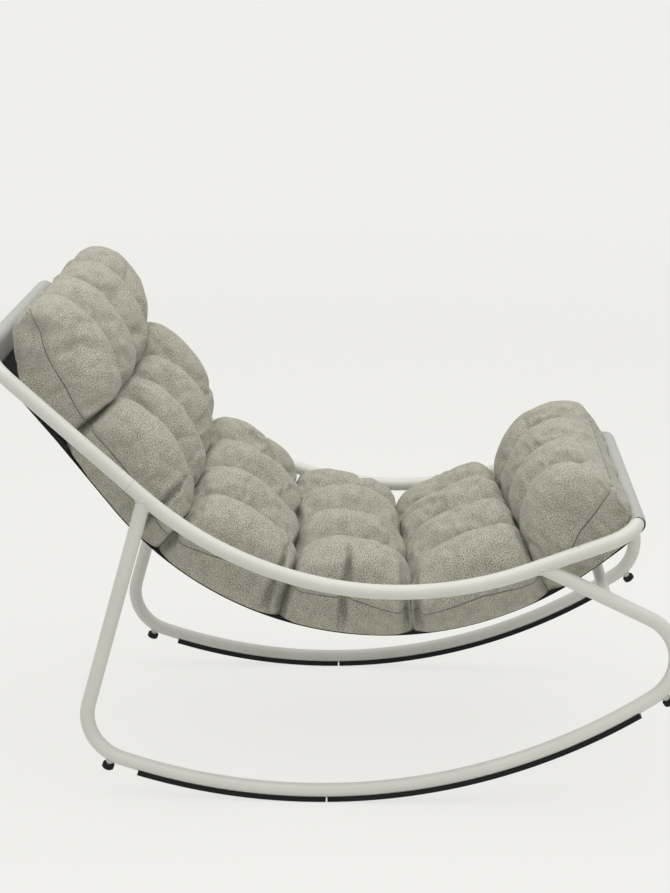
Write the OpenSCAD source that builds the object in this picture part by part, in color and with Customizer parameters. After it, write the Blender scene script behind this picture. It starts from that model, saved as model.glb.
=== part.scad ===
// Rocking armchair: two bent-tube side frames joined by a head bow, a knee bow and
// a crossbar, a sling stretched between the two bows, and one tufted cushion in it.
// +X points forward, +Y to the sitter's left and +Z up. The origin is on the floor,
// midway between the rockers, straight under the centre of the rocker curve.

/* [Frame tube] */
// Outside diameter of the frame tube
tube_d = 25; // [22:0.5:28]
// Wall of the frame tube
tube_wall = 1.5; // [1:0.1:2]
// Distance between the two side frames, centre to centre
frame_w = 555; // [500:5:620]

/* [Side rail] */
// Radius of the seat curve
seat_r = 617; // [590:1:640]
// Height of the lowest point of the rail's centreline
seat_z = 395; // [380:1:410]
// How far the lowest point of the rail lies in front of the floor contact
seat_x = 144; // [130:1:160]
// Slope of the back above the seat curve
back_slope = 43; // [40:0.5:46]
// Slope of the thigh end in front of the seat curve
knee_slope = 21.5; // [19:0.5:24]
// Straight run from the seat curve to the head tube
back_run = 348; // [330:1:370]
// Straight run from the seat curve to the knee tube
knee_run = 194; // [185:1:205]
// Bend radius of the four corners of the bows
corner_r = 55; // [45:1:60]

/* [Rocker] */
// Radius of the rocker curve, to the middle of the tube
rocker_r = 1000; // [960:5:1040]
// Bend radius between rocker and legs
bend_r = 85; // [75:1:95]
// Distance from the back end of the seat curve forward to the back leg's weld
back_weld = 6; // [2:1:14]
// Distance from the front end of the seat curve to the front leg's weld
knee_weld = 19.5; // [18:0.5:26]
// Lean of the back leg from upright
back_leg_lean = 16.2; // [14:0.2:18]
// Slope of the front leg
front_leg_slope = 26.1; // [24:0.2:28]
// Diameter of the front crossbar
crossbar_d = 20; // [16:0.5:22]
// Distance down the front leg from its weld to the crossbar
crossbar_down = 123; // [110:1:140]
// Clearance of a coped tube end before it is welded
weld_clear = 0.05; // [0.02:0.01:0.1]

/* [Bow joints] */
// Distance from the back end of the seat curve to the head bow's joint
back_joint = 28; // [27:1:40]
// Distance from the front end of the seat curve to the knee bow's joint
knee_joint = 89.5; // [84:0.5:100]
// Width of the seam line at a bow joint
seam_gap = 0.6; // [0.2:0.1:1.5]
// Length of the spigot that is welded in
spigot_fixed = 25; // [20:1:26]
// Length of the spigot that slides in
spigot_free = 48; // [40:1:52]
// Wall of the spigot
spigot_wall = 1.5; // [1.2:0.1:2]
// Clearance all round the spigot
spigot_clear = 0.2; // [0.1:0.05:0.4]
// Distance from a joint's seam to its bolt
bolt_inset = 20; // [16:1:24]
// Thread diameter of the joint bolts
bolt_d = 6; // [5:0.5:6]
// Head diameter of the joint bolts
bolt_head_d = 11; // [10:0.5:12]
// Head height of the joint bolts
bolt_head_h = 3.3; // [3:0.1:4]
// Clearance round a bolt in its hole
bolt_clear = 0.25; // [0.1:0.05:0.5]
// Width across the flats of the weld nut
nut_af = 10; // [9:0.5:11]
// Thickness of the weld nut
nut_h = 5; // [4:0.5:6]

/* [Glide strips] */
// Depth from the rocker tube's centre to the floor face of a strip
strip_drop = 18; // [16.5:0.5:20]
// Width of a strip
strip_w = 24; // [22:0.5:26]
// Depth from the rocker tube's centre to the top edges of a strip
strip_top = 7.5; // [7:0.5:9]
// Distance from an end of the strips to the end of the rocker curve
strip_inset = 34; // [24:1:60]
// Angle on the rocker curve at the joint of the two strips
strip_joint = 1.7; // [0:0.1:6]
// Gap between the two strips
strip_gap = 3; // [1:0.5:5]
// Number of screws in a rear strip
rear_screws = 3; // [2:1:4]
// Number of screws in a front strip
front_screws = 4; // [3:1:6]
// Diameter of a strip screw
screw_d = 3.5; // [3:0.1:4]
// Head diameter of a strip screw
screw_head_d = 7; // [6.5:0.1:8]
// Depth of a strip screw's head below the floor face
screw_sink = 1.5; // [1:0.1:2]

/* [End stops] */
// Distance of a stop beyond the end of the rocker curve
stop_out = 18; // [14:1:22]
// Diameter of a stop's welded post
post_d = 10; // [8:0.5:12]
// Diameter of a stop's rubber cap
cap_d = 21; // [18:0.5:24]
// Thickness of a stop's rubber cap
cap_h = 10; // [8:0.5:12]
// How far a cap reaches past the strips
cap_reach = 8.5; // [6:0.5:10]
// Rubber left below the post inside a cap
cap_floor = 4; // [3:0.5:6]

/* [Sling] */
// Thickness of the sling cloth
sling_t = 1.2; // [0.8:0.1:1.4]
// Thickness of the sling's sleeves, where the cloth is doubled over
sleeve_t = 1.6; // [1.5:0.1:2.4]
// How far each edge of the sling is set in from the side rail's centre
sling_inset = 42.5; // [38:0.5:60]
// Clearance between the sling's sleeves and the tubes
sleeve_clear = 0.3; // [0.2:0.1:0.6]
// Distance of the sling curve's centre behind the seat curve's centre
sling_back = 18; // [10:1:26]
// Distance of the sling curve's centre below the seat curve's centre
sling_down = 123; // [114:1:131]

/* [Cushion] */
// Gap between the cushion's sides and the side rails
cushion_gap = 11; // [8:0.5:30]
// How far the tufted top is set in from the cushion's sides
top_inset = 20; // [12:1:34]
// Overhang of the head roll beyond the head tube
head_overhang = 29; // [24:0.5:34]
// Overhang of the knee roll beyond the knee tube
knee_overhang = 17; // [14:0.5:22]
// Length of each row of pillows, from head to knee; together they fill the cushion
row_len = [230, 224, 244, 240, 242, 219];
// Height of each row of pillows above the sling, from head to knee
row_top = [178, 150, 139, 142, 140, 160];
// Height above the sling of the sewn lines between rows, ends included
seam_top = [105, 78, 72, 70, 70, 74, 98];
// Depth of the sewn lines between columns at the crown of a row
column_crease = 24; // [10:1:30]
// Depth of the tufts where the sewn lines cross
tuft_dip = 8; // [4:0.5:12]
// Clearance between the cushion and the sling
cushion_clear = 0.3; // [0.2:0.1:0.6]
// Number of columns of pillows
columns = 4; // [3:1:5]
// How far the sides draw in at each sewn line
side_draw = 11; // [6:1:16]

/* [Hidden] */
$fn = 64;

right = -1;
left = 1;
tube_bore = tube_d - 2 * tube_wall;
rocker_hub = [0, rocker_r + strip_drop];
seat_hub = [seat_x, seat_z + seat_r];
// Arc lengths of the two ends of the seat curve, from its lowest point
back_turn = seat_r * back_slope * PI / 180;
knee_turn = seat_r * knee_slope * PI / 180;
head_s = back_turn + back_run;
knee_s = knee_turn + knee_run;
back_seam = back_turn + back_joint;
knee_seam = knee_turn + knee_joint;
// A bend swells the tube's wall this much, inside and out, and the next stretch of
// the tube runs this far into it
swell = 0.15;
lap = 0.5;

function ray(a) = [cos(a), sin(a)];
function angle_of(p) = atan2(p.y, p.x);
function to_deg(len, r) = len / r * 180 / PI;

// Slope of the rail and a point on its centreline, s along it from the lowest point
function rail_slope(s) = s < -back_turn ? -back_slope : s > knee_turn ? knee_slope : to_deg(s, seat_r);
function rail_point(s) =
    let (turn = min(max(s, -back_turn), knee_turn), a = to_deg(turn, seat_r))
    seat_hub + seat_r * [sin(a), -cos(a)] + (s - turn) * ray(a);

head_point = rail_point(-head_s);
knee_point = rail_point(knee_s);

// A leg runs from its weld to where the bend starts; the bend then meets the
// rocker curve on a common tangent. Each leg is [weld, direction, inward normal].
back_leg = [rail_point(back_weld - back_turn), ray(-90 - back_leg_lean), ray(-back_leg_lean)];
front_leg = [rail_point(knee_turn + knee_weld), ray(-front_leg_slope), ray(-90 - front_leg_slope)];
function leg_run(leg) =
    let (
        rel = leg[0] + bend_r * leg[2] - rocker_hub,
        b = rel * leg[1],
        c = rel * rel - (rocker_r - bend_r) * (rocker_r - bend_r)
    )
    -b + sqrt(b * b - c);
function leg_end(leg) = leg[0] + leg_run(leg) * leg[1];
function bend_hub(leg) = leg_end(leg) + bend_r * leg[2];
function rocker_angle(leg) = angle_of(bend_hub(leg) - rocker_hub);
rocker_back = rocker_angle(back_leg);
rocker_front = rocker_angle(front_leg);
strip_back = rocker_back + 90 + to_deg(strip_inset, rocker_r);
strip_front = rocker_front + 90 - to_deg(strip_inset, rocker_r);
crossbar_at = front_leg[0] + crossbar_down * front_leg[1];

// The sling leaves the knee tube on the seat arc, which wraps it from outside, and
// runs from the back end of that arc straight to the head tube.
wrap_r = tube_d / 2 + sleeve_clear + sleeve_t / 2;
sling_hub = seat_hub - [sling_back, sling_down];
sling_w = frame_w - 2 * sling_inset;
sling_r = norm(knee_point - sling_hub) + wrap_r;
knee_wrap = angle_of(knee_point - sling_hub);
head_off = head_point - sling_hub;
back_wrap = angle_of(head_off) + acos((sling_r - wrap_r) / norm(head_off)) - (head_off.y > 0 ? 360 : 0);
sling_run = sqrt(head_off * head_off - (sling_r - wrap_r) * (sling_r - wrap_r));
sleeve_w = frame_w - 2 * corner_r;
// The straight stretch of the sling is pulled this much thinner on each face
pull = 0.02;

module ring(d_out, d_in) {
    difference() {
        circle(d = d_out);
        if (d_in > 0) circle(d = d_in);
    }
}

// Stretches of tube in the side view's own plane, drawn flat and anticlockwise, with
// their bends' hubs on the left. A bore of 0 makes them solid, and thick is what a
// stretch's wall gains on each face.
module tube_arc(hub, r, from, to, d_out, bore, thick) {
    translate([hub.x, hub.y, 0])
        rotate([0, 0, from])
            rotate_extrude(angle = to - from, $fn = 180)
                translate([r, 0])
                    ring(d_out + 2 * thick, bore > 0 ? bore - 2 * thick : 0, $fn = 48);
}

module tube_run(start, direction, len, d_out, bore) {
    translate([start.x, start.y, 0])
        rotate([0, 0, angle_of(direction)])
            rotate([0, 90, 0])
                rotate([0, 0, -90])
                    linear_extrude(len)
                        ring(d_out, bore, $fn = 48);
}

// Stands a flat side view up in the plane of one side frame
module side_plane(side) {
    translate([0, side * frame_w / 2, 0])
        rotate([90, 0, 0])
            children();
}

// Local X along the rail towards the knee, local Z towards the sitter
module on_rail(s, side) {
    p = rail_point(s);
    translate([p.x, side * frame_w / 2, p.y])
        rotate([0, -rail_slope(s), 0])
            children();
}

// Local -Z points out of the rocker curve at an angle from its lowest point
module on_rocker(angle, side) {
    translate([0, side * frame_w / 2, rocker_hub.y])
        rotate([0, -angle, 0])
            children();
}

module seat_arc(d_out, bore) {
    tube_arc(seat_hub, seat_r, -90 - back_slope, -90 + knee_slope, d_out, bore, swell);
}

module back_bend(d_out, bore) {
    tube_arc(bend_hub(back_leg), bend_r, -180 - back_leg_lean, rocker_back, d_out, bore, swell);
}

module front_bend(d_out, bore) {
    tube_arc(bend_hub(front_leg), bend_r, rocker_front, 90 - front_leg_slope, d_out, bore, swell);
}

function screw_angles() = [
    for (i = [0:rear_screws - 1])
        strip_back + (strip_joint - strip_back) * (i + 0.5) / rear_screws,
    for (i = [0:front_screws - 1])
        strip_joint + (strip_front - strip_joint) * (i + 0.5) / front_screws
];

module bolt_hole(s, side) {
    on_rail(s, side)
        translate([0, 0, -tube_d])
            cylinder(d = bolt_d + 2 * bolt_clear, h = tube_d, $fn = 32);
}

module side_rail(side) {
    color("gainsboro")
        difference() {
            side_plane(side) {
                tube_run(rail_point(seam_gap / 2 - back_seam), ray(-back_slope),
                    back_joint - seam_gap / 2 + lap, tube_d, tube_bore);
                seat_arc(tube_d, tube_bore);
                tube_run(rail_point(knee_turn) - lap * ray(knee_slope), ray(knee_slope),
                    knee_joint - seam_gap / 2 + lap, tube_d, tube_bore);
            }
            bolt_hole(knee_seam - bolt_inset, side);
        }
}

// The back leg is coped to the seat curve and the front leg to the straight thigh end
module rocker(side) {
    reach = 60;
    lap_turn = to_deg(lap, rocker_r);
    color("gainsboro") {
        side_plane(side) {
            difference() {
                tube_run(back_leg[0], back_leg[1], leg_run(back_leg) + lap, tube_d, tube_bore);
                tube_arc(seat_hub, seat_r, -90 - back_slope - to_deg(reach, seat_r),
                    -90 - back_slope + to_deg(reach, seat_r), tube_d, 0, swell + weld_clear);
            }
            back_bend(tube_d, tube_bore);
            front_bend(tube_d, tube_bore);
            difference() {
                tube_run(leg_end(front_leg) + lap * front_leg[1], -front_leg[1],
                    leg_run(front_leg) + lap, tube_d, tube_bore);
                tube_run(front_leg[0] - reach * ray(knee_slope), ray(knee_slope), 2 * reach,
                    tube_d + 2 * weld_clear, 0);
            }
        }
        difference() {
            side_plane(side)
                tube_arc(rocker_hub, rocker_r, rocker_back - lap_turn, rocker_front + lap_turn,
                    tube_d, tube_bore, 0);
            for (a = screw_angles())
                on_rocker(a, side)
                    translate([0, 0, -rocker_r - tube_d])
                        cylinder(d = screw_d + 0.1, h = tube_d, $fn = 24);
        }
    }
}

// A bow drawn flat: two arms along X, two corners and the cross tube
module bow(arm) {
    tube_run([0, -frame_w / 2], [1, 0], arm - corner_r + lap, tube_d, tube_bore);
    tube_run([arm, corner_r - frame_w / 2 - lap], [0, 1], frame_w - 2 * corner_r + 2 * lap,
        tube_d, tube_bore);
    tube_run([arm - corner_r + lap, frame_w / 2], [-1, 0], arm - corner_r + lap, tube_d, tube_bore);
    for (side = [right, left])
        tube_arc([arm - corner_r, side * (frame_w / 2 - corner_r)], corner_r,
            side == left ? 0 : -90, side == left ? 90 : 0, tube_d, tube_bore, swell);
}

module head_bow() {
    start = rail_point(-back_seam - seam_gap / 2);
    color("gainsboro")
        difference() {
            translate([start.x, 0, start.y])
                rotate([0, 180 + back_slope, 0])
                    bow(head_s - back_seam - seam_gap / 2);
            for (side = [right, left])
                bolt_hole(-back_seam - bolt_inset, side);
        }
}

module knee_bow() {
    start = rail_point(knee_seam + seam_gap / 2);
    color("gainsboro")
        translate([start.x, 0, start.y])
            rotate([0, -knee_slope, 0])
                bow(knee_s - knee_seam - seam_gap / 2);
}

module front_crossbar() {
    color("gainsboro")
        difference() {
            translate([crossbar_at.x, 0, crossbar_at.y])
                rotate([90, 0, 0])
                    linear_extrude(frame_w, center = true)
                        ring(crossbar_d, crossbar_d - 2 * tube_wall, $fn = 48);
            for (side = [right, left])
                side_plane(side)
                    tube_run(front_leg[0], front_leg[1], leg_run(front_leg), tube_d + 2 * weld_clear, 0);
        }
}

// The spigot is welded into one tube and slides into the other. The bolt goes in
// from below through the sliding side, into a nut welded inside the spigot.
spigot_d = tube_bore - 2 * spigot_clear;
spigot_bore = spigot_d - 2 * spigot_wall;
nut_top = sqrt(pow(spigot_bore / 2, 2) - pow(nut_af / sqrt(3), 2)) - nut_h;

module spigot(s, side) {
    color("silver")
        difference() {
            on_rail(s, side)
                translate([-spigot_free, 0, 0])
                    rotate([0, 90, 0])
                        linear_extrude(spigot_fixed + spigot_free)
                            ring(spigot_d, spigot_bore, $fn = 48);
            bolt_hole(s - bolt_inset, side);
        }
}

module joint_bolts(s) {
    head_r = (bolt_head_d * bolt_head_d / 4 + bolt_head_h * bolt_head_h) / (2 * bolt_head_h);
    color("lightgray")
        for (side = [right, left])
            on_rail(s, side)
                mirror([0, 0, 1])
                    difference() {
                        union() {
                            intersection() {
                                translate([0, 0, tube_d / 2 + bolt_head_h - head_r])
                                    sphere(r = head_r, $fn = 48);
                                translate([0, 0, tube_d / 2])
                                    cylinder(d = bolt_head_d, h = bolt_head_h, $fn = 48);
                            }
                            translate([0, 0, nut_top])
                                cylinder(d = bolt_d, h = tube_d / 2 - nut_top + lap, $fn = 32);
                        }
                        translate([0, 0, tube_d / 2 + bolt_head_h - 2])
                            cylinder(d = 4.6, h = 2.1, $fn = 6);
                    }
}

module weld_nuts(s) {
    color("silver")
        for (side = [right, left])
            on_rail(s, side)
                translate([0, 0, -nut_top - nut_h])
                    difference() {
                        cylinder(d = nut_af * 2 / sqrt(3), h = nut_h, $fn = 6);
                        translate([0, 0, -1])
                            cylinder(d = bolt_d + 0.1, h = nut_h + 2, $fn = 32);
                    }
}

// Section of a strip across the rocker: radial depth along X, width along Y
module strip_section() {
    edge = 2;
    difference() {
        polygon([
            [rocker_r + strip_top, -strip_w / 2],
            [rocker_r + strip_drop - edge, -strip_w / 2],
            [rocker_r + strip_drop, edge - strip_w / 2],
            [rocker_r + strip_drop, strip_w / 2 - edge],
            [rocker_r + strip_drop - edge, strip_w / 2],
            [rocker_r + strip_top, strip_w / 2]
        ]);
        translate([rocker_r, 0])
            circle(d = tube_d + 0.1, $fn = 48);
    }
}

module strip(side, from, to) {
    color("#222222")
        difference() {
            side_plane(side)
                translate([0, rocker_hub.y, 0])
                    rotate([0, 0, from - 90])
                        rotate_extrude(angle = to - from, $fn = 360)
                            strip_section();
            for (a = screw_angles())
                if (a > from && a < to)
                    on_rocker(a, side)
                        strip_screw(0.1, screw_sink + 1);
        }
}

// Countersunk screw from below; grow widens it into its hole
module strip_screw(grow, tail) {
    head_h = (screw_head_d - screw_d) / 2;
    floor_r = rocker_r + strip_drop;
    translate([0, 0, screw_sink - floor_r])
        cylinder(d1 = screw_head_d + 2 * grow, d2 = screw_d + 2 * grow, h = head_h, $fn = 32);
    translate([0, 0, screw_sink - floor_r + head_h])
        cylinder(d = screw_d + 2 * grow, h = strip_drop - tube_bore / 2, $fn = 32);
    if (tail > 0)
        translate([0, 0, -floor_r - 1])
            cylinder(d = screw_head_d + 2 * grow, h = tail, $fn = 32);
}

module strip_screws(side) {
    color("dimgray")
        for (a = screw_angles())
            on_rocker(a, side)
                strip_screw(0, 0);
}

half_gap = to_deg(strip_gap / 2, rocker_r);
module rear_strip(side) strip(side, strip_back, strip_joint - half_gap);
module front_strip(side) strip(side, strip_joint + half_gap, strip_front);

cap_out = rocker_r + strip_drop + cap_reach;
stop_back = rocker_back + 90 - to_deg(stop_out, rocker_r);
stop_front = rocker_front + 90 + to_deg(stop_out, rocker_r);

// A post welded under a bend, whose tube is the module's child
module stop_post(angle, side) {
    color("gainsboro")
        difference() {
            on_rocker(angle, side)
                translate([0, 0, cap_floor - cap_out])
                    cylinder(d = post_d, h = cap_out - cap_floor - rocker_r, $fn = 48);
            side_plane(side)
                children();
        }
}
module rear_stop_post(side) stop_post(stop_back, side) back_bend(tube_d + 2 * weld_clear, 0);
module front_stop_post(side) stop_post(stop_front, side) front_bend(tube_d + 2 * weld_clear, 0);

module stop_cap(angle, side) {
    edge = 1.5;
    color("#1c1c1c")
        on_rocker(angle, side)
            translate([0, 0, -cap_out])
                difference() {
                    union() {
                        cylinder(d1 = cap_d - 2 * edge, d2 = cap_d, h = edge, $fn = 48);
                        translate([0, 0, edge])
                            cylinder(d = cap_d, h = cap_h - 2 * edge, $fn = 48);
                        translate([0, 0, cap_h - edge])
                            cylinder(d1 = cap_d, d2 = cap_d - 2 * edge, h = edge, $fn = 48);
                    }
                    translate([0, 0, cap_floor])
                        cylinder(d = post_d + 0.1, h = cap_h, $fn = 48);
                }
}

module sling() {
    color("lightgray")
        rotate([90, 0, 0]) {
            translate([sling_hub.x, sling_hub.y, 0])
                rotate([0, 0, back_wrap])
                    rotate_extrude(angle = knee_wrap - back_wrap, $fn = 360)
                        translate([sling_r - sling_t / 2, -sling_w / 2])
                            square([sling_t, sling_w]);
            translate([sling_hub.x, sling_hub.y, 0])
                rotate([0, 0, back_wrap])
                    translate([sling_r - sling_t / 2 + pull, -sling_run, pull - sling_w / 2])
                        cube([sling_t - 2 * pull, sling_run + lap, sling_w - 2 * pull]);
            for (tube = [head_point, knee_point])
                translate([tube.x, tube.y, 0])
                    linear_extrude(sleeve_w, center = true)
                        ring(2 * wrap_r + sleeve_t, 2 * wrap_r - sleeve_t);
        }
}

// The cushion is a closed skin of cross loops. Each loop stands square to the sling:
// v runs along the sling from the back end of its arc towards the knee, n is the
// height above the cloth and y the place across the chair.
row_steps = 6;
column_steps = 4;
rows = len(row_len);
stations = rows * row_steps;
top_steps = columns * column_steps;
cushion_r = sling_r - sling_t / 2 - cushion_clear;
cushion_start = -sling_run - head_overhang;
cushion_end = sling_r * (knee_wrap - back_wrap) * PI / 180 + knee_overhang;
cushion_w = frame_w - tube_d - 2 * cushion_gap;
cushion_top_w = cushion_w - 2 * top_inset;
// How far the flat underside is set in from the cushion's sides
under_inset = 22;
// Heights of the underside where it climbs over the tubes, from the end inwards
end_lift = [56, 32];

function sum_to(list, k) = k <= 0 ? 0 : list[k - 1] + sum_to(list, k - 1);
function crown(t, p) = 1 - pow(abs(2 * t - 1), p);
function mix(a, b, t) = a + (b - a) * t;
function seat_point(v, n, y) =
    let (
        a = back_wrap + to_deg(max(v, 0), sling_r),
        p = sling_hub + (cushion_r - n) * ray(a) + min(v, 0) * ray(a + 90)
    )
    [p.x, y, p.y];

function station_row(k) = min(floor(k / row_steps), rows - 1);
function station_part(k) = (k - station_row(k) * row_steps) / row_steps;
function row_v(k) = mix(cushion_start, cushion_end, sum_to(row_len, k) / sum_to(row_len, rows));
function station_v(k) = mix(row_v(station_row(k)), row_v(station_row(k) + 1), station_part(k));
function underside(k) = k < len(end_lift) ? end_lift[k] : stations - k < len(end_lift) ? end_lift[stations - k] : 0;

function top_height(k, i) =
    let (
        row = station_row(k),
        part = station_part(k),
        seam = mix(seam_top[row], seam_top[row + 1], part),
        rise = row_top[row] - (seam_top[row] + seam_top[row + 1]) / 2,
        swelling = crown(part, 2.4),
        across = crown((i % column_steps) / column_steps, 2.2)
    )
    seam + rise * swelling - mix(tuft_dip, column_crease, swelling) * (1 - across);

// Side points from the top edge down: share of the top's height, and width drawn in
side_points = [[0.78, 6], [0.5, 0], [0.2, 3]];
bottom_steps = 6;
function side_y(k, inset) = cushion_w / 2 - inset - side_draw * (1 - crown(station_part(k), 2.4));
function loop_points(k) =
    let (low = underside(k), edge = top_height(k, 0))
    [
        for (i = [0:top_steps])
            seat_point(station_v(k), top_height(k, i), (i / top_steps - 0.5) * cushion_top_w),
        for (q = side_points)
            seat_point(station_v(k), mix(low, edge, q[0]), side_y(k, q[1])),
        for (i = [0:bottom_steps])
            seat_point(station_v(k), low, (0.5 - i / bottom_steps) * (cushion_w - 2 * under_inset)),
        for (j = [len(side_points) - 1:-1:0])
            seat_point(station_v(k), mix(low, edge, side_points[j][0]), -side_y(k, side_points[j][1]))
    ];

module cushion() {
    loops = [for (k = [0:stations]) loop_points(k)];
    n = len(loops[0]);
    skin = [for (loop = loops) each loop];
    under_edge = top_steps + 1 + len(side_points);
    caps = [for (k = [0, stations]) (loops[k][0] + loops[k][under_edge]) / 2];
    centre = len(skin);
    color("tan")
        polyhedron(
            points = concat(skin, caps),
            faces = concat(
                [for (k = [0:stations - 1], i = [0:n - 1])
                    [k * n + i, (k + 1) * n + (i + 1) % n, (k + 1) * n + i]],
                [for (k = [0:stations - 1], i = [0:n - 1])
                    [k * n + i, k * n + (i + 1) % n, (k + 1) * n + (i + 1) % n]],
                [for (i = [0:n - 1]) [centre, (i + 1) % n, i]],
                [for (i = [0:n - 1]) [centre + 1, stations * n + i, stations * n + (i + 1) % n]]
            )
        );
}

side_rail(right);  // right_side_rail
side_rail(left);  // left_side_rail
rocker(right);  // right_rocker
rocker(left);  // left_rocker
head_bow();
knee_bow();
front_crossbar();
spigot(-back_seam, right);  // right_back_spigot
spigot(-back_seam, left);  // left_back_spigot
spigot(knee_seam, right);  // right_knee_spigot
spigot(knee_seam, left);  // left_knee_spigot
joint_bolts(-back_seam - bolt_inset);  // back_joint_bolts
joint_bolts(knee_seam - bolt_inset);  // knee_joint_bolts
weld_nuts(-back_seam - bolt_inset);  // back_weld_nuts
weld_nuts(knee_seam - bolt_inset);  // knee_weld_nuts
rear_strip(right);  // right_rear_strip
front_strip(right);  // right_front_strip
rear_strip(left);  // left_rear_strip
front_strip(left);  // left_front_strip
strip_screws(right);  // right_strip_screws
strip_screws(left);  // left_strip_screws
rear_stop_post(right);  // right_rear_stop_post
front_stop_post(right);  // right_front_stop_post
rear_stop_post(left);  // left_rear_stop_post
front_stop_post(left);  // left_front_stop_post
stop_cap(stop_back, right);  // right_rear_stop_cap
stop_cap(stop_front, right);  // right_front_stop_cap
stop_cap(stop_back, left);  // left_rear_stop_cap
stop_cap(stop_front, left);  // left_front_stop_cap
sling();
cushion();
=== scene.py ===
import math

import bmesh
import bpy
import numpy as np
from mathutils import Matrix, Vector, noise


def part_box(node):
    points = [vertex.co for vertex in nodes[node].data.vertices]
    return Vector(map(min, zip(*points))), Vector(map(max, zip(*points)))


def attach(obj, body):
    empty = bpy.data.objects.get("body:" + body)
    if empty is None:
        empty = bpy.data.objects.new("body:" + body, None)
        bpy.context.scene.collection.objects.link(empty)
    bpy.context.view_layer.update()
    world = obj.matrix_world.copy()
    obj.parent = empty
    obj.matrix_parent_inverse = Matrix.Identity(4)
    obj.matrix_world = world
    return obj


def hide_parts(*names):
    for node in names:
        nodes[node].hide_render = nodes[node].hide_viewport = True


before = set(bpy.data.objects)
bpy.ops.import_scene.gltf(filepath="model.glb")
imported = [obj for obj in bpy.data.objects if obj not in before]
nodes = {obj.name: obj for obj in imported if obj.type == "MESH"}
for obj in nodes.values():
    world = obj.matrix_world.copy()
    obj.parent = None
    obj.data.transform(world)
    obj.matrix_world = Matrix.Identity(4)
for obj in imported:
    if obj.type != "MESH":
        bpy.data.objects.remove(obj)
bpy.context.view_layer.update()

# The studio is a wide pale floor under one broad soft lamp. What the camera sees of the
# floor is mostly its own pale colour, so that it stays even, and the rest takes the
# chair's shadow.
studio_white = (0.871, 0.863, 0.831, 1.0)


def place(tree, kind, inputs=None, **settings):
    """Puts a shader node in a tree, with its inputs set or wired up."""
    made = tree.nodes.new("ShaderNode" + kind)
    for name, value in settings.items():
        setattr(made, name, value)
    for name, value in (inputs or {}).items():
        if isinstance(value, bpy.types.NodeSocket):
            tree.links.new(value, made.inputs[name])
        else:
            made.inputs[name].default_value = value
    return made


def start_material(name, colour):
    """A new material with an empty node tree and its surface output."""
    made = bpy.data.materials.new(name)
    made.use_nodes = True
    made.node_tree.nodes.clear()
    made.diffuse_color = colour
    return made, made.node_tree, place(made.node_tree, "OutputMaterial")


def seen_directly(tree):
    """1 for what the camera, a mirror or clear plastic shows of the studio, else 0."""
    path = place(tree, "LightPath")
    seen = path.outputs["Is Camera Ray"]
    for ray in ("Is Glossy Ray", "Is Transmission Ray"):
        seen = place(tree, "Math", {0: seen, 1: path.outputs[ray]}, operation="MAXIMUM").outputs[0]
    return seen


def floor_material():
    """A floor that shows its own colour to the camera and takes shadows near the chair."""
    made, tree, output = start_material("studio_floor", studio_white)
    lit = place(tree, "BsdfDiffuse", {"Color": (0.86, 0.855, 0.83, 1.0)})
    where = place(tree, "TexCoord").outputs["Object"]
    away = place(tree, "VectorMath", {0: where}, operation="LENGTH").outputs["Value"]
    near, horizon = 1.5, 6.0
    evenness = place(tree, "MapRange", {0: away, 1: near, 2: horizon, 3: 0.82, 4: 1.0},
                     interpolation_type="SMOOTHSTEP")
    strength = place(tree, "MapRange", {0: away, 1: near, 2: horizon, 3: 1.035, 4: 1.0},
                     interpolation_type="SMOOTHSTEP")
    own = place(tree, "Emission", {"Color": studio_white, "Strength": strength.outputs[0]})
    share = place(tree, "Math", {0: seen_directly(tree), 1: evenness.outputs[0]}, operation="MULTIPLY")
    both = place(tree, "MixShader", {0: share.outputs[0], 1: lit.outputs[0], 2: own.outputs[0]})
    tree.links.new(both.outputs[0], output.inputs["Surface"])
    return made


bpy.ops.object.select_all(action="DESELECT")
bpy.ops.mesh.primitive_plane_add(size=60.0, location=(0, 0, -0.0005))
floor = bpy.context.object
floor.name = "studio_floor"
floor.data.materials.append(floor_material())

world = bpy.data.worlds.new("studio_air")
bpy.context.scene.world = world
world.use_nodes = True
world.node_tree.nodes.clear()
air = world.node_tree
strength = place(air, "MapRange", {0: seen_directly(air), 3: 0.60, 4: 1.0})
glow = place(air, "Background", {"Color": studio_white, "Strength": strength.outputs[0]})
air.links.new(glow.outputs[0], place(air, "OutputWorld").inputs["Surface"])

bpy.ops.object.light_add(type="AREA", location=(0.2, -0.5, 3.2))
lamp = bpy.context.object
lamp.name = "overhead_softbox"
lamp.data.shape = "SQUARE"
lamp.data.size = 4.0
lamp.data.energy = 73.0

bpy.ops.object.camera_add(location=(0.150, -2.925, 1.5056))
camera = bpy.context.object
looking = Vector((-0.03786, 0.95100, -0.30688))
camera.rotation_mode = "QUATERNION"
camera.rotation_quaternion = looking.to_track_quat("-Z", "Y")
camera.data.sensor_width = 36.0
camera.data.lens = 68.53
bpy.context.scene.camera = camera
bpy.context.scene.view_settings.view_transform = "Standard"

# The frame is bent from 25 mm steel tube: two side rails, the head and knee bows that
# plug into them, and two rockers welded underneath with a crossbar between the front
# legs. All of it has one coat of warm off-white powder, baked on.


def start_effect(name, inputs, outputs):
    """An empty shader group with the inputs and outputs that its materials share."""
    tree = bpy.data.node_groups.new(name, "ShaderNodeTree")
    for label, kind, start in inputs:
        socket = tree.interface.new_socket(label, in_out="INPUT", socket_type="NodeSocket" + kind)
        if start is not None:
            socket.default_value = start
    for label, kind in outputs:
        tree.interface.new_socket(label, in_out="OUTPUT", socket_type="NodeSocket" + kind)
    return tree, tree.nodes.new("NodeGroupInput").outputs, tree.nodes.new("NodeGroupOutput").inputs


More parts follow.
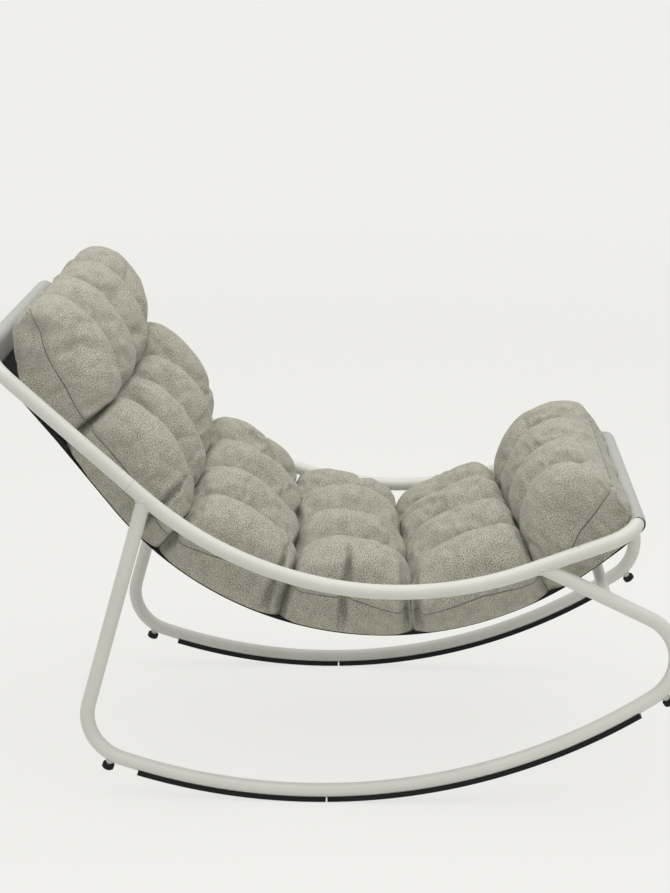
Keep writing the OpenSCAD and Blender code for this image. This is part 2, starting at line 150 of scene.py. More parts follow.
def use_effect(tree, effect, inputs):
    """Puts a shader group in a material."""
    made = tree.nodes.new("ShaderNodeGroup")
    made.node_tree = effect
    for name, value in inputs.items():
        if isinstance(value, bpy.types.NodeSocket):
            tree.links.new(value, made.inputs[name])
        else:
            made.inputs[name].default_value = value
    return made.outputs


def make_grain():
    """Grain: a fine pebbled height, and broad soft patches where hands have dulled it."""
    tree, given, result = start_effect(
        "surface_grain",
        [("Place", "Vector", None), ("Grains per metre", "Float", 900.0),
         ("Patches per metre", "Float", 9.0)],
        [("Height", "Float"), ("Patches", "Float")],
    )
    fine = place(tree, "TexNoise", {
        "Vector": given["Place"], "Scale": given["Grains per metre"], "Detail": 1.0})
    broad = place(tree, "TexNoise", {
        "Vector": given["Place"], "Scale": given["Patches per metre"], "Detail": 3.0})
    soft = place(tree, "MapRange", {0: broad.outputs[0], 1: 0.35, 2: 0.65}, interpolation_type="SMOOTHSTEP")
    tree.links.new(fine.outputs[0], result["Height"])
    tree.links.new(soft.outputs[0], result["Patches"])
    return tree


grain = make_grain()


def grained_material(
        name, pale, dark, roughness, metallic=0.0, bump=0.0001, grains=900.0, spread=0.1, shine=0.5):
    """A hard finish: colour and gloss vary in soft patches over a fine grain."""
    made, tree, output = start_material(name, (*pale, 1.0))
    where = place(tree, "TexCoord").outputs["Object"]
    marks = use_effect(tree, grain, {"Place": where, "Grains per metre": grains})
    colour = place(tree, "Mix", {0: marks["Patches"], 6: (*pale, 1.0), 7: (*dark, 1.0)}, data_type="RGBA")
    gloss = place(tree, "MapRange", {
        0: marks["Patches"], 3: roughness - spread / 2, 4: roughness + spread / 2})
    relief = place(tree, "Bump", {"Strength": 0.35, "Distance": bump, "Height": marks["Height"]})
    surface = place(tree, "BsdfPrincipled", {
        "Base Color": colour.outputs[2], "Roughness": gloss.outputs[0],
        "Metallic": metallic, "Specular IOR Level": shine, "Normal": relief.outputs[0],
    })
    tree.links.new(surface.outputs[0], output.inputs["Surface"])
    return made


def finish_nodes(names, material):
    """Gives CAD nodes their finish."""
    for name in names:
        for slot in nodes[name].material_slots:
            slot.material = material


powder_coat = grained_material(
    "off_white_powder_coat", (0.735, 0.735, 0.69), (0.71, 0.71, 0.665), 0.42, bump=0.00015)
finish_nodes(
    ["left_side_rail", "right_side_rail", "head_bow", "knee_bow", "left_rocker", "right_rocker",
     "front_crossbar", "left_rear_stop_post", "left_front_stop_post", "right_rear_stop_post",
     "right_front_stop_post"], powder_coat)

# Each tube end that lands on another tube is cut to its curve and welded all round: the
# legs under the rails, the crossbar between the front legs, and the stop posts. The bead
# is a small rippled fillet under the same powder coat.
tube_r = 0.0125
crossbar_r = 0.010
post_r = 0.005
side_y = 0.2775
seat_hub = Vector((0.144, 0, 1.012))
seat_r = 0.617
rocker_hub = Vector((0, 0, 1.018))
rocker_r = 1.0
back_weld_turn = math.radians(-132.443)
back_leg_turn = math.radians(-106.2)
thigh_turn = math.radians(-68.5)
thigh_weld_at = 0.0195
front_leg_turn = math.radians(-26.1)
crossbar_down = 0.123
bead_r = 0.0018
bead_out = 0.0005
ripples = 36
ripple_depth = 0.16


def ray(angle):
    """A direction in the side plane, turned from forward towards up."""
    return Vector((math.cos(angle), 0, math.sin(angle)))


def weld_bead(name, centre, along, r, onto, onto_r):
    """A bead round the end of a tube, where it sits on another tube."""
    bpy.ops.object.select_all(action="DESELECT")
    bpy.ops.mesh.primitive_torus_add(
        major_radius=r + bead_out, minor_radius=bead_r, major_segments=72, minor_segments=10)
    bead = bpy.context.object
    bead.name = name
    turned = along.to_track_quat("Z", "Y")
    lean = along.dot(onto)
    for vert in bead.data.vertices:
        spoke = Vector((vert.co.x, vert.co.y, 0)).normalized()
        ring = spoke * (r + bead_out)
        ripple = 1 + ripple_depth * math.sin(ripples * math.atan2(spoke.y, spoke.x))
        across = (turned @ spoke).dot(onto)
        reach = (r * lean * across) ** 2 - (1 - lean ** 2) * (r * r * (1 - across ** 2) - onto_r ** 2)
        rise = (r * lean * across + math.sqrt(max(0.0, reach))) / (1 - lean ** 2)
        vert.co = centre + turned @ (ring + (vert.co - ring) * ripple) + rise * along
    bpy.ops.object.shade_smooth()
    bead.data.materials.append(powder_coat)
    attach(bead, "root")


back_leg = ray(back_leg_turn)
front_leg = ray(front_leg_turn)
back_rail = ray(back_weld_turn + math.pi / 2)
thigh_rail = ray(thigh_turn + math.pi / 2)
back_weld = seat_hub + seat_r * ray(back_weld_turn)
front_weld = seat_hub + seat_r * ray(thigh_turn) + thigh_weld_at * thigh_rail
crossbar_weld = front_weld + crossbar_down * front_leg
for side_name, side in (("left", 1), ("right", -1)):
    plane = Vector((0, side * side_y, 0))
    inward = Vector((0, -side, 0))
    weld_bead(side_name + "_back_leg_weld", back_weld + plane, back_leg, tube_r, back_rail, tube_r)
    weld_bead(side_name + "_front_leg_weld", front_weld + plane, front_leg, tube_r, thigh_rail, tube_r)
    weld_bead(side_name + "_crossbar_weld", crossbar_weld + plane, inward, crossbar_r, front_leg, tube_r)
    for end_name, turn in (("rear", -20.23), ("front", 36.994)):
        out = ray(math.radians(turn - 90))
        weld_bead(side_name + "_" + end_name + "_post_weld", rocker_hub + rocker_r * out + plane, out,
                  post_r, ray(math.radians(turn)), tube_r)

# Inside the four tube joints are zinc-plated sleeves, and from below a zinc bolt
# goes through each into a welded nut. The glide strips have screws of the same finish.
zinc = grained_material("bright_zinc", (0.62, 0.62, 0.6), (0.5, 0.5, 0.49), 0.36, metallic=1.0, grains=1600.0)
finish_nodes(
    ["back_joint_bolts", "knee_joint_bolts", "back_weld_nuts", "knee_weld_nuts", "left_back_spigot",
     "left_knee_spigot", "right_back_spigot", "right_knee_spigot", "left_strip_screws",
     "right_strip_screws"], zinc)

# Each rocker runs on two glide strips of black plastic, drawn to a channel that grips
# the tube from below, and dulled where it rolls on the floor.
strip_black = grained_material(
    "black_glide_plastic", (0.008, 0.008, 0.008), (0.014, 0.014, 0.014), 0.5, grains=700.0, spread=0.2,
    shine=0.15)
finish_nodes(["left_rear_strip", "left_front_strip", "right_rear_strip", "right_front_strip"], strip_black)

# Four black rubber caps on short posts under the rocker bends stop the chair from
# tipping too far. The rubber is duller than the plastic of the strips.
rubber = grained_material(
    "black_rubber", (0.012, 0.012, 0.012), (0.018, 0.018, 0.018), 0.7, grains=1300.0, shine=0.2)
finish_nodes(
    ["left_rear_stop_cap", "left_front_stop_cap", "right_rear_stop_cap", "right_front_stop_cap"], rubber)

# The sling is one length of tight woven cloth, light grey outside, stretched from the head
# tube to the knee tube. Its inner face and cut edges are black: painted shade for the shade
# behind and under the cushion. At each end it is turned round the tube and sewn down on
# its inner side, which makes the sleeve that the tube lies in.
sling_hub = Vector((0.126, 0, 0.889))
wrap_r = 0.0136
cloth_t = 0.0012
sling_half_w = 0.235
sleeve_half_w = 0.240
hem = 0.036
hem_lift = 0.0014
corner_r = 0.055
flap_rows = 6
wrap_rows = 30
sling_rows = 150
sling_middle = 0.3
sleeve_blend = 0.09
sag_depth = 0.010
sag_from = -0.15
sag_run = 1.05
head_tube = Vector((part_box("head_bow")[0].x + tube_r, 0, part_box("head_bow")[1].z - tube_r))
knee_tube = Vector((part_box("knee_bow")[1].x - tube_r, 0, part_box("knee_bow")[1].z - tube_r))


def heading(p):
    """The angle of a direction in the side plane, from forward towards up."""
    return math.atan2(p.z, p.x)


sling_r = (knee_tube - sling_hub).length + wrap_r
knee_wrap = heading(knee_tube - sling_hub)
head_reach = (head_tube - sling_hub).length
back_wrap = heading(head_tube - sling_hub) + math.acos((sling_r - wrap_r) / head_reach)
straight_run = math.sqrt(head_reach ** 2 - (sling_r - wrap_r) ** 2)
arc_run = sling_r * (knee_wrap - back_wrap)


def seat_point(v, n, y):
    """A point v along the sling from the foot of its straight back, n above its cloth."""
    turn = back_wrap + max(v, 0) / sling_r
    return sling_hub + (sling_r - n) * ray(turn) + min(v, 0) * ray(turn + math.pi / 2) + Vector((0, y, 0))


def sag(v):
    """How far the cloth has stretched down between its two tubes."""
    return sag_depth * math.sin(math.pi * min(1.0, max(0.0, (v - sag_from) / sag_run)))


def sleeve_loop(tube, hem_end, meet, sense):
    """Cloth from its sewn hem, round the tube and back to where it meets the sling."""
    back = hem_end - tube
    start = heading(back) + sense * math.acos(wrap_r / back.length)
    sweep = (sense * (heading(meet - tube) - start)) % (2 * math.pi)
    round_tube = [
        tube + wrap_r * ray(start + sense * sweep * i / wrap_rows) for i in range(wrap_rows + 1)]
    return [hem_end.lerp(round_tube[0], i / flap_rows) for i in range(flap_rows)] + round_tube


def sling_path():
    """The sling's middle line, hem to hem, and for each point its sleeve's tube."""
    head_loop = sleeve_loop(
        head_tube, seat_point(-straight_run + hem, hem_lift, 0), seat_point(-straight_run, 0, 0), 1)
    knee_loop = sleeve_loop(
        knee_tube, seat_point(arc_run - hem, hem_lift, 0), seat_point(arc_run, 0, 0), -1)
    middle = [-straight_run + (straight_run + arc_run) * i / sling_rows for i in range(1, sling_rows)]
    points = [(p, head_tube, 1.0) for p in head_loop]
    for v in middle:
        near = min(v + straight_run, arc_run - v)
        tube = head_tube if v < sling_middle else knee_tube
        points.append((seat_point(v, -sag(v), 0), tube, max(0.0, 1 - near / sleeve_blend)))
    points += [(p, knee_tube, 1.0) for p in reversed(knee_loop)]
    return points


def follow_bend(p, tube, hold, y):
    """Cloth over a bow's corner follows the tube as it turns towards the side rail."""
    over = max(0.0, abs(y) - (side_y - corner_r))
    lean = math.asin(over / corner_r)
    wrap = back_wrap if tube is head_tube else knee_wrap
    inward = ray(wrap + (math.pi / 2 if tube is head_tube else -math.pi / 2))
    stretch = (p - tube).dot(inward) * (1 / math.cos(lean) - 1) if hold == 1.0 else 0.0
    return p + hold * (corner_r * (1 - math.cos(lean)) * inward) + stretch * inward + Vector((0, y, 0))


def sheet_mesh(name, lines, across):
    """A grid mesh from rows of points, with the real distances as its UV map."""
    made = bmesh.new()
    uv = made.loops.layers.uv.new("cloth")
    grid = [[made.verts.new(p) for p in line] for line in lines]
    run = [0.0]
    for a, b in zip(lines, lines[1:]):
        run.append(run[-1] + (b[len(b) // 2] - a[len(a) // 2]).length)
    for i in range(len(grid) - 1):
        for j in range(len(across) - 1):
            corners = [(i, j), (i, j + 1), (i + 1, j + 1), (i + 1, j)]
            face = made.faces.new([grid[a][b] for a, b in corners])
            face.smooth = True
            for loop, (a, b) in zip(face.loops, corners):
                loop[uv].uv = (across[b], run[a])
    mesh = bpy.data.meshes.new(name)
    made.to_mesh(mesh)
    made.free()
    piece = bpy.data.objects.new(name, mesh)
    bpy.context.scene.collection.objects.link(piece)
    return piece, run


def make_weave():
    """Weave: the rounded height of over-and-under threads, from a UV map in metres."""
    tree, given, result = start_effect(
        "plain_weave", [("Place", "Vector", None), ("Threads per metre", "Float", 1200.0)],
        [("Height", "Float")])
    turns = place(tree, "Math", {0: given["Threads per metre"], 1: math.pi}, operation="MULTIPLY")
    scaled = place(tree, "VectorMath", {0: given["Place"], "Scale": turns.outputs[0]}, operation="SCALE")
    axes = place(tree, "SeparateXYZ", {0: scaled.outputs[0]})
    waves = [place(tree, "Math", {0: axes.outputs[i]}, operation="SINE").outputs[0] for i in (0, 1)]
    crossing = place(tree, "Math", {0: waves[0], 1: waves[1]}, operation="MULTIPLY")
    height = place(tree, "MapRange", {0: crossing.outputs[0], 1: -1.0, 2: 1.0})
    tree.links.new(height.outputs[0], result["Height"])
    return tree


def make_melange():
    """Melange: yarns of two shades spun together, in small flecks and larger clouds."""
    tree, given, result = start_effect(
        "melange_yarn", [("Place", "Vector", None), ("Flecks per metre", "Float", 420.0)],
        [("Shade", "Float")])
    fleck = place(tree, "TexNoise", {
        "Vector": given["Place"], "Scale": given["Flecks per metre"], "Detail": 2.0, "Roughness": 0.6})
    cloud = place(tree, "TexNoise", {"Vector": given["Place"], "Scale": 60.0, "Detail": 2.0})
    mixed = place(tree, "Mix", {0: 0.13, 2: fleck.outputs[0], 3: cloud.outputs[0]})
    shade = place(tree, "MapRange", {0: mixed.outputs[0], 1: 0.36, 2: 0.64})
    tree.links.new(shade.outputs[0], result["Shade"])
    return tree


def make_sewn_line():
    """A sewn line along a cloth: the groove that it pulls in, as a depth and as painted shade, and its
    separate stitches.
    """
    tree, given, result = start_effect(
        "sewn_line",
        [("Across", "Float", 0.0), ("Along", "Float", 0.0), ("Line at", "Float", 0.0),
         ("Line width", "Float", 0.0007), ("Stitches per metre", "Float", 280.0)],
        [("Groove depth and painted shade", "Float"), ("Thread", "Float")])
    off = place(tree, "Math", {0: given["Across"], 1: given["Line at"]}, operation="SUBTRACT")
    far = place(tree, "Math", {0: off.outputs[0]}, operation="ABSOLUTE")
    share = place(tree, "Math", {0: far.outputs[0], 1: given["Line width"]}, operation="DIVIDE")
    groove = place(tree, "MapRange", {0: share.outputs[0], 1: 0.5, 2: 2.5, 3: 1.0, 4: 0.0},
                   interpolation_type="SMOOTHSTEP")
    count = place(tree, "Math", {0: given["Along"], 1: given["Stitches per metre"]}, operation="MULTIPLY")
    part = place(tree, "Math", {0: count.outputs[0]}, operation="FRACT")
    stitch = place(tree, "Math", {0: part.outputs[0], 1: 0.72}, operation="LESS_THAN")
    on_line = place(tree, "Math", {0: share.outputs[0], 1: 0.6}, operation="LESS_THAN")
    thread = place(tree, "Math", {0: stitch.outputs[0], 1: on_line.outputs[0]}, operation="MULTIPLY")
    tree.links.new(groove.outputs[0], result["Groove depth and painted shade"])
    tree.links.new(thread.outputs[0], result["Thread"])
    return tree


weave = make_weave()
melange = make_melange()
sewn_line = make_sewn_line()


def cloth_material(name, pale, dark, thread, threads, relief, flecks, sewn_at):
    """A woven cloth with sewn lines, all drawn on the piece's own UV map in metres."""
    made, tree, output = start_material(name, (*pale, 1.0))
    where = place(tree, "UVMap", uv_map="cloth").outputs[0]
    axes = place(tree, "SeparateXYZ", {0: where})
    yarn = use_effect(tree, melange, {"Place": where, "Flecks per metre": flecks})
    threads_up = use_effect(tree, weave, {"Place": where, "Threads per metre": threads})
    colour = place(tree, "Mix", {0: yarn["Shade"], 6: (*dark, 1.0), 7: (*pale, 1.0)},
                   data_type="RGBA").outputs[2]
    height = threads_up["Height"]
    for line_at, along in sewn_at:
        line = use_effect(tree, sewn_line, {
            "Across": axes.outputs[1 - along], "Along": axes.outputs[along], "Line at": line_at})
        # The groove darkens the cloth along the line: painted shade in the seam's crease.
        shaded = place(tree, "Mix", {0: line["Groove depth and painted shade"], 6: colour, 7: (*[0.55 * c for c in dark], 1.0)},
                       data_type="RGBA")
        colour = place(tree, "Mix", {0: line["Thread"], 6: shaded.outputs[2], 7: (*thread, 1.0)},
                       data_type="RGBA").outputs[2]
        height = place(tree, "Math", {0: line["Groove depth and painted shade"], 1: -2.0, 2: height},
                       operation="MULTIPLY_ADD").outputs[0]
    bump = place(tree, "Bump", {"Strength": 0.6, "Distance": relief, "Height": height})
    surface = place(tree, "BsdfPrincipled", {
        "Base Color": colour, "Roughness": 0.92, "Specular IOR Level": 0.25,
        "Sheen Weight": 0.15, "Sheen Roughness": 0.45, "Normal": bump.outputs[0],
    })
    tree.links.new(surface.outputs[0], output.inputs["Surface"])
    return made


across_steps = 48
sling_across = [2 * i / across_steps - 1 for i in range(across_steps + 1)]
sling_lines = []
for p, tube, hold in sling_path():
    half_w = sling_half_w + (sleeve_half_w - sling_half_w) * hold
    sling_lines.append([follow_bend(p, tube, hold, half_w * share) for share in sling_across])
sling, sling_run = sheet_mesh("sling_sheet", sling_lines, [sling_half_w * share for share in sling_across])
sling_length = sling_run[-1]
hem_rows = round(hem * sling_rows / (straight_run + arc_run))
stitched_row = flap_rows + wrap_rows + hem_rows
stitched_in = 0.004
side_hem = 0.223
hem_stitches = [(stitched_in, 0), (sling_run[stitched_row], 0), (sling_run[-1 - stitched_row], 0),
                (sling_length - stitched_in, 0), (side_hem, 1), (-side_hem, 1)]
sling.data.materials.append(cloth_material(
    "sling_grey_outside", pale=(0.56, 0.56, 0.54), dark=(0.44, 0.44, 0.425), thread=(0.72, 0.72, 0.69),
    threads=1500.0, relief=0.0002, flecks=420.0, sewn_at=hem_stitches))
# The black inner face is painted shade, standing in for the shade behind and under the cushion.
sling.data.materials.append(cloth_material(
    "sling_inside_painted_shade_black", pale=(0.022, 0.022, 0.023), dark=(0.012, 0.012, 0.012), thread=(0.05, 0.05, 0.05),
    threads=1500.0, relief=0.0002, flecks=420.0, sewn_at=hem_stitches))
bpy.context.view_layer.objects.active = sling
thickness = sling.modifiers.new("cloth", "SOLIDIFY")
thickness.thickness = cloth_t
thickness.offset = 0.0
# The cut edges take the black too: a painted shade line under the cushion's edge.
thickness.material_offset = 1
thickness.material_offset_rim = 1
bpy.ops.object.modifier_apply(modifier="cloth")
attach(sling, "root")
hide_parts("sling")

# The cushion is one pad of mottled greige cloth, sewn into six rows and four columns and
# stuffed, so that every cell swells. It lies loose on the sling. Its first row is a roll
# behind the head and its last is one under the knees. Places on it are those of seat_point.
row_seams = [-0.137, 0.089, 0.330, 0.556, 0.794]
seam_heights = [0.068, 0.054, 0.060, 0.054, 0.056]
wander_across = [-0.19, 0.0, 0.12, 0.20]
seam_wander = [(-0.002, 0.0, 0.0, -0.042), (0.014, 0.0, -0.009, -0.026), (0.011, 0.0, -0.008, -0.026),
               (0.017, 0.0, -0.011, -0.017), (0.022, 0.0, -0.014, -0.022)]
row_crowns = [-0.262, -0.050, 0.185, 0.450, 0.745, 0.930]
column_crests = [-0.19, -0.064, 0.064, 0.19]
crown_heights = [
    [0.162, 0.169, 0.175, 0.180], [0.140, 0.147, 0.156, 0.165], [0.134, 0.141, 0.149, 0.152],
    [0.146, 0.149, 0.148, 0.137], [0.137, 0.142, 0.145, 0.138], [0.172, 0.171, 0.169, 0.167]]
rise_sharpness = [0.9, 0.5, 0.7, 0.75, 1.0, 1.1]
fall_sharpness = [0.65, 0.75, 0.65, 0.65, 0.55, 0.8]
head_row = 0
knee_row = 5
head_end = (-0.348, 0.106)
knee_end = (1.030, 0.081)
underside_head = [head_end, (-0.344, 0.086), (-0.331, 0.061), (-0.306, 0.042), (-0.276, 0.022),
                  (-0.246, 0.008), (-0.225, 0.0)]
underside_knee = [(0.960, 0.0), (0.978, 0.004), (0.992, 0.0185), (1.005, 0.0275), (1.019, 0.031),
                  (1.029, 0.042), (1.032, 0.059), knee_end]
stuffing_room = 0.004
station_gap = 0.0062
foot_gap = 0.0005


def half_row(crown, edge, sharpness, count=60):
    """From a row's crown down to its edge: a quarter round, fuller as sharpness falls."""
    turns = [math.pi / 2 * i / count for i in range(count + 1)]
    return [(crown[0] + (edge[0] - crown[0]) * math.sin(a),
             edge[1] + (crown[1] - edge[1]) * math.cos(a) ** sharpness) for a in turns]


def evenly(line, gap):
    """The same line with its points evenly spaced, about gap apart."""
    line = np.array(line)
    run = np.concatenate([[0], np.cumsum(np.linalg.norm(np.diff(line, axis=0), axis=1))])
    steps = np.linspace(0, run[-1], max(2, round(run[-1] / gap)) + 1)
    return [(float(np.interp(s, run, line[:, 0])), float(np.interp(s, run, line[:, 1]))) for s in steps]


def rounded(line, times=3):
    """A line with its corners cut off again and again, its two ends kept."""
    for _ in range(times):
        cut = [line[0]]
        for a, b in zip(line, line[1:]):
            cut += [(0.75 * a[0] + 0.25 * b[0], 0.75 * a[1] + 0.25 * b[1]),
                    (0.25 * a[0] + 0.75 * b[0], 0.25 * a[1] + 0.75 * b[1])]
        line = cut + [line[-1]]
    return line


def cushion_stations():
    """Cross sections from head to knee: top point, foot, row, share of the row, swelling."""
    edges = [head_end, *zip(row_seams, seam_heights), knee_end]
    stations = []
    for row, crown_v in enumerate(row_crowns):
        before, after = edges[row], edges[row + 1]
        crown = (crown_v, sum(crown_heights[row]) / 4 - stuffing_room)
        rise = half_row(crown, before, rise_sharpness[row])[::-1]
        fall = half_row(crown, after, fall_sharpness[row])
        top = evenly(rise + fall[1:], station_gap)
        if row == head_row:
            bottom = rounded(underside_head) + [(after[0], 0.0)]
        elif row == knee_row:
            bottom = [(before[0], 0.0)] + rounded(underside_knee)
        else:
            bottom = [(before[0], 0.0), (after[0], 0.0)]
        under = evenly(bottom, foot_gap)
        for i, point in enumerate(top if row == knee_row else top[:-1]):
            share = i / (len(top) - 1)
            foot = under[round(share * (len(under) - 1))]
            foot = (foot[0], foot[1] - sag(foot[0]))
            edge = before[1] if point[0] < crown_v else after[1]
            stations.append((point, foot, row, share, (point[1] - edge) / (crown[1] - edge)))
    return stations


column_w = 0.128
column_depths = [0.36, 0.74, 0.74, 0.74, 0.74, 0.42]
column_fullness = 2.2
row_fullness = 6
last_seam_slack = 0.03
side_half_w = 0.222
side_swell = 0.021
shoulder_half_w = 0.200
shoulder_swell = 0.020
shoulder_least = 0.02
under_half_w = 0.2335
undercut = 0.008
shoulder_curve = 0.9
flank_out = 0.7
flank_down = 0.8
end_narrowing = 0.17
end_undercut = 0.03
column_steps = 18
outer_steps = 9
shoulder_steps = 15
flank_steps = 10
foot_steps = 6
crest_place = column_steps // 2
column_seam_place = column_steps
side_seam_place = column_steps + outer_steps + shoulder_steps
side_seam = [
    (-0.345, 0.118), (-0.300, 0.103), (-0.244, 0.085), (-0.186, 0.076), (-0.136, 0.062), (-0.020, 0.058),
    (0.086, 0.032), (0.199, 0.056), (0.305, 0.068), (0.344, 0.054), (0.449, 0.057), (0.525, 0.040),
    (0.570, 0.026), (0.625, 0.033), (0.701, 0.040), (0.808, 0.030), (0.897, 0.068), (0.950, 0.078),
    (1.014, 0.088), (1.060, 0.100)]


def swell(x, fullness):
    """0 at both edges of a cell and 1 over most of it."""
    return (1 - abs(2 * x - 1) ** fullness) ** 0.6 if 0 < x < 1 else 0.0


def row_place(row, share):
    """How far through a row its sides are, for their swell; an end row has one seam."""
    if row == head_row:
        return 0.5 + share / 2
    if row == knee_row:
        return max(last_seam_slack, share / 2)
    return min(share, 1 - last_seam_slack) if row == knee_row - 1 else share


def column_place(y):
    """How far through a column y is; an outer column has a seam on its inner side only."""
    if abs(y) < column_w:
        return (abs(y) % column_w) / column_w
    return min(0.5, (abs(y) - column_w) / column_w)


def half_loop(plump, ending, seam_share, tuck):
    """Half a cross section, from the middle of the top round to the middle of the foot.

    Its points are a place across and a share of the height. The side stands out where
    the row is plump, and draws in towards the cushion's ends.
    """
    drawn_in = 1 - end_narrowing * (1 - math.sqrt(1 - min(1.0, ending) ** 2))
    outer = (side_half_w + side_swell * plump) * drawn_in
    inner = min(shoulder_half_w - shoulder_swell * plump, outer - shoulder_least)
    low_y = min(under_half_w, outer - undercut) - end_undercut * ending - tuck
    loop = []
    for i in range(column_steps):
        closer_at_seams = 0.2 - 0.2 * math.cos(math.pi * i / column_steps)
        loop.append((column_w * (0.6 * i / column_steps + closer_at_seams), 1.0))
    loop += [(column_w + (inner - column_w) * i / outer_steps, 1.0) for i in range(outer_steps)]
    for i in range(shoulder_steps):
        turn = math.pi / 2 * (1 - i / shoulder_steps)
        loop.append((inner + (outer - inner) * math.cos(turn) ** shoulder_curve,
                     seam_share + (1 - seam_share) * math.sin(turn) ** shoulder_curve))
    for i in range(flank_steps + 1):
        turn = math.pi / 2 * i / flank_steps
        out = (outer - low_y) * math.cos(turn) ** flank_out if i < flank_steps else 0.0
        loop.append((low_y + out, seam_share * (1 - math.sin(turn) ** flank_down)))
    loop += [(low_y + (column_w - low_y) * i / foot_steps, 0.0) for i in range(1, foot_steps + 1)]
    return loop + [(column_w * (1 - i / foot_steps), 0.0) for i in range(1, foot_steps + 1)]


side_creases = {-1: [-0.139, 0.050, 0.110, 0.312, 0.341, 0.447, 0.562, 0.585, 0.815],
                1: [-0.173, 0.068, 0.200, 0.309, 0.455, 0.539, 0.680, 0.772]}
crease_pull = 0.029
knee_crease_pull = 0.010
knee_creases_from = 0.75
crease_w = 0.0062
crease_sewn_w = 0.0034
side_from = 0.19
side_blend = 0.045
dimple = (-0.312, 0.100)
dimple_pull = 0.010
dimple_r = 0.016
side_seam_pull = 0.003
lump_size = 0.0025
row_fold = 0.0015
end_fold = 0.0025
tuft_dip = 0.006
tuft_r = 0.012
seam_lowest = 0.22
seam_highest = 0.72
seam_hold_w = 0.0005
foot_share = 0.03
lift_from = 0.4
end_round = 0.09
end_bottom = 0.032
end_bottom_blend = 0.02
end_crease_depth = 0.014
closing_run = 0.03
head_tuck = 0.024
head_tuck_from = -0.07
head_tuck_run = 0.08
cushion_rest = 0.0009


def seam_shift(v, y):
    """How far the row seams have wandered along the seat, at a place across it."""
    strays = [float(np.interp(y, wander_across, seam)) for seam in seam_wander]
    return float(np.interp(v, [head_end[0], *row_seams, knee_end[0]], [0, *strays, 0]))


def unevenness(v, y, height, row):
    """Lumps of stuffing, with finer folds that run round the rows."""
    lump = lump_size * noise.noise(Vector((v * 14, y * 14, height * 2)))
    fold = noise.noise(Vector((v * 11 + y * 7, y * 62 + v * 9, 4.0)))
    return lump + (end_fold if row in (head_row, knee_row) else row_fold) * fold


def side_gather(v, n, y, height, row):
    """How far the side is pulled in at its creases, and whether it is sewn there."""
    nearest = min(abs(v - at) for at in side_creases[1 if y > 0 else -1])
    on_side = min(1.0, max(0.0, (abs(y) - side_from) / side_blend)) * min(1.0, height * 4)
    pull = crease_pull if v < knee_creases_from else knee_crease_pull
    pinch = pull * math.exp(-(nearest / crease_w) ** 2) * on_side
    if row == head_row:
        off = math.hypot(v - dimple[0], n - dimple[1])
        pinch += dimple_pull * math.exp(-(off / dimple_r) ** 2) * on_side
    return pinch, nearest < crease_sewn_w and on_side > 0.3


def station_loop(point, foot, row, share, risen):
    """A closed cross section: for each point v, n, y and whether it is sewn down."""
    at_end = row in (head_row, knee_row)
    thick = point[1] - foot[1]
    risen = max(0.0, risen)
    mean = sum(crown_heights[row]) / 4
    edge = point[1] - risen * (mean - stuffing_room - seam_heights[min(row, knee_row - 1)])
    seam_near = min(abs(point[0] - s) for s in row_seams)
    seam_n = float(np.interp(point[0], [v for v, _ in side_seam], [n for _, n in side_seam]))
    half = half_loop(
        plump=swell(row_place(row, share), row_fullness),
        ending=max(0.0, 1 - thick / end_round) if at_end else 0.0,
        seam_share=min(seam_highest, max(seam_lowest, (seam_n - foot[1]) / max(0.01, thick))),
        tuck=head_tuck * min(1.0, max(0.0, (head_tuck_from - foot[0]) / head_tuck_run)))
    across = half + [(-y, height) for y, height in half[-2:0:-1]]
    on_end = min(1.0, max(0.0, (foot[1] - end_bottom) / end_bottom_blend)) if at_end else 0.0
    closing = min(1.0, thick / closing_run)
    end_crease = (end_crease_depth if row == head_row else -end_crease_depth) * on_end * closing
    loop = []
    for place_in, (y, height) in enumerate(across):
        valley = 1 - swell(column_place(y), column_fullness)
        lift = max(0.0, (height - lift_from) / (1 - lift_from))
        line = min(abs(abs(y) - column_w), abs(y))
        crease = column_depths[row] * (point[1] - edge) * valley
        crease += tuft_dip * math.exp(-(seam_near ** 2 + line ** 2) / tuft_r ** 2)
        fuller = (float(np.interp(y, column_crests, crown_heights[row])) - mean) * risen
        v = foot[0] + (point[0] - foot[0]) * height
        v += end_crease * valley * (1 - lift)
        lump = unevenness(v, y, height, row)
        n = foot[1] + thick * height + (fuller - crease + lump) * lift * closing
        v += seam_shift(v, y)
        pinch, in_crease = side_gather(v, n, y, height, row)
        at_seam = place_in in (side_seam_place, len(across) - side_seam_place)
        pinch += side_seam_pull if at_seam else 0.0
        on_row_seam = share in (0, 1)
        on_column_seam = height in (0.0, 1.0) and line < seam_hold_w
        on_foot = height < foot_share and on_end == 0
        sewn = on_row_seam or on_column_seam or on_foot or at_seam or in_crease
        loop.append((v, n + cushion_rest, y - math.copysign(pinch, y), float(sewn)))
    return loop


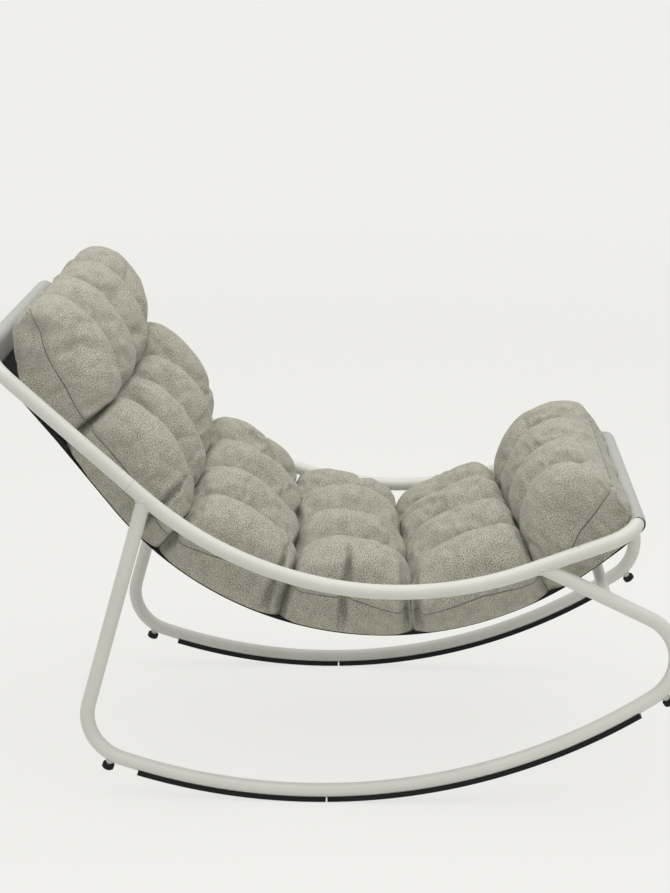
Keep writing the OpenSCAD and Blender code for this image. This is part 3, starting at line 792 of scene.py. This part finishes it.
def cushion_piece():
    """The sewn cover as one mesh, with real distances as its UV map, and its seams there."""
    made = bmesh.new()
    uv = made.loops.layers.uv.new("cloth")
    held = made.verts.layers.float.new("held")
    stations = cushion_stations()
    grid = []
    for station in stations:
        verts = []
        for v, n, y, sewn in station_loop(*station):
            verts.append(made.verts.new(seat_point(v, n, y)))
            verts[-1][held] = sewn
        grid.append(verts)
    around = len(grid[0])
    along = [0.0]
    for a, b in zip(grid, grid[1:]):
        along.append(along[-1] + (b[crest_place].co - a[crest_place].co).length)
    widest = max(grid, key=lambda loop: sum((a.co - b.co).length for a, b in zip(loop, loop[1:])))
    girth = [0.0]
    for a, b in zip(widest, widest[1:] + widest[:1]):
        girth.append(girth[-1] + (b.co - a.co).length)
    lengthwise = [column_seam_place, around - column_seam_place, side_seam_place, around - side_seam_place]
    seams = [(girth[place_in], 1) for place_in in lengthwise]
    seams += [(run, 0) for run, station in zip(along, stations) if station[3] in (0, 1)]
    for i in range(len(grid) - 1):
        for j in range(around):
            k = (j + 1) % around
            face = made.faces.new((grid[i][j], grid[i][k], grid[i + 1][k], grid[i + 1][j]))
            face.smooth = True
            for loop, (a, b) in zip(face.loops, ((i, j), (i, j + 1), (i + 1, j + 1), (i + 1, j))):
                loop[uv].uv = (girth[b], along[a])
    bmesh.ops.remove_doubles(made, verts=made.verts, dist=0.00002)
    bmesh.ops.recalc_face_normals(made, faces=made.faces)
    mesh = bpy.data.meshes.new("tufted_cushion")
    made.to_mesh(mesh)
    made.free()
    piece = bpy.data.objects.new("tufted_cushion", mesh)
    bpy.context.scene.collection.objects.link(piece)
    return piece, seams


def mesh_points(piece):
    """A mesh's points as rows of x, y and z."""
    flat = np.zeros(3 * len(piece.data.vertices))
    piece.data.vertices.foreach_get("co", flat)
    return flat.reshape(-1, 3)


def stuff(piece, pressure, spare, most, half_w, frames=20):
    """Blows the sewn cover up as cloth, held at its seams, and applies the result.

    No point moves further than most, or stands out past half_w on either side.
    """
    sewn = piece.vertex_groups.new(name="sewn")
    held = piece.data.attributes["held"].data
    sewn.add([i for i, point in enumerate(held) if point.value > 0.5], 1.0, "REPLACE")
    start = mesh_points(piece)
    cloth = piece.modifiers.new("stuffing", "CLOTH")
    cloth.settings.vertex_group_mass = "sewn"
    cloth.settings.quality = 4
    cloth.settings.mass = 0.15
    cloth.settings.tension_stiffness = 25.0
    cloth.settings.compression_stiffness = 12.0
    cloth.settings.shear_stiffness = 4.0
    cloth.settings.bending_stiffness = 0.1
    cloth.settings.use_pressure = True
    cloth.settings.uniform_pressure_force = pressure
    cloth.settings.shrink_min = -spare
    cloth.settings.effector_weights.gravity = 0.0
    cloth.collision_settings.use_collision = False
    cloth.point_cache.frame_end = frames
    for frame_number in range(1, frames + 1):
        bpy.context.scene.frame_set(frame_number)
    bpy.ops.object.modifier_apply(modifier="stuffing")
    moved = mesh_points(piece) - start
    far = np.linalg.norm(moved, axis=1, keepdims=True)
    end = start + moved * np.minimum(1, most / np.maximum(far, 1e-9))
    end[:, 1] = np.clip(end[:, 1], -half_w, half_w)
    piece.data.vertices.foreach_set("co", end.ravel())
    piece.data.update()


cushion, cushion_seams = cushion_piece()
bpy.ops.object.select_all(action="DESELECT")
bpy.context.view_layer.objects.active = cushion
stuff(cushion, pressure=3.0, spare=0.08, most=0.017, half_w=0.262)
smooth = cushion.modifiers.new("smooth", "SUBSURF")
smooth.levels = smooth.render_levels = 1
bpy.ops.object.modifier_apply(modifier="smooth")
cushion.data.materials.append(cloth_material(
    "greige_melange_cloth", pale=(0.67, 0.643, 0.55), dark=(0.175, 0.168, 0.133), thread=(0.27, 0.255, 0.21),
    threads=900.0, relief=0.00025, flecks=520.0, sewn_at=cushion_seams))
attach(cushion, "root")
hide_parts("cushion")
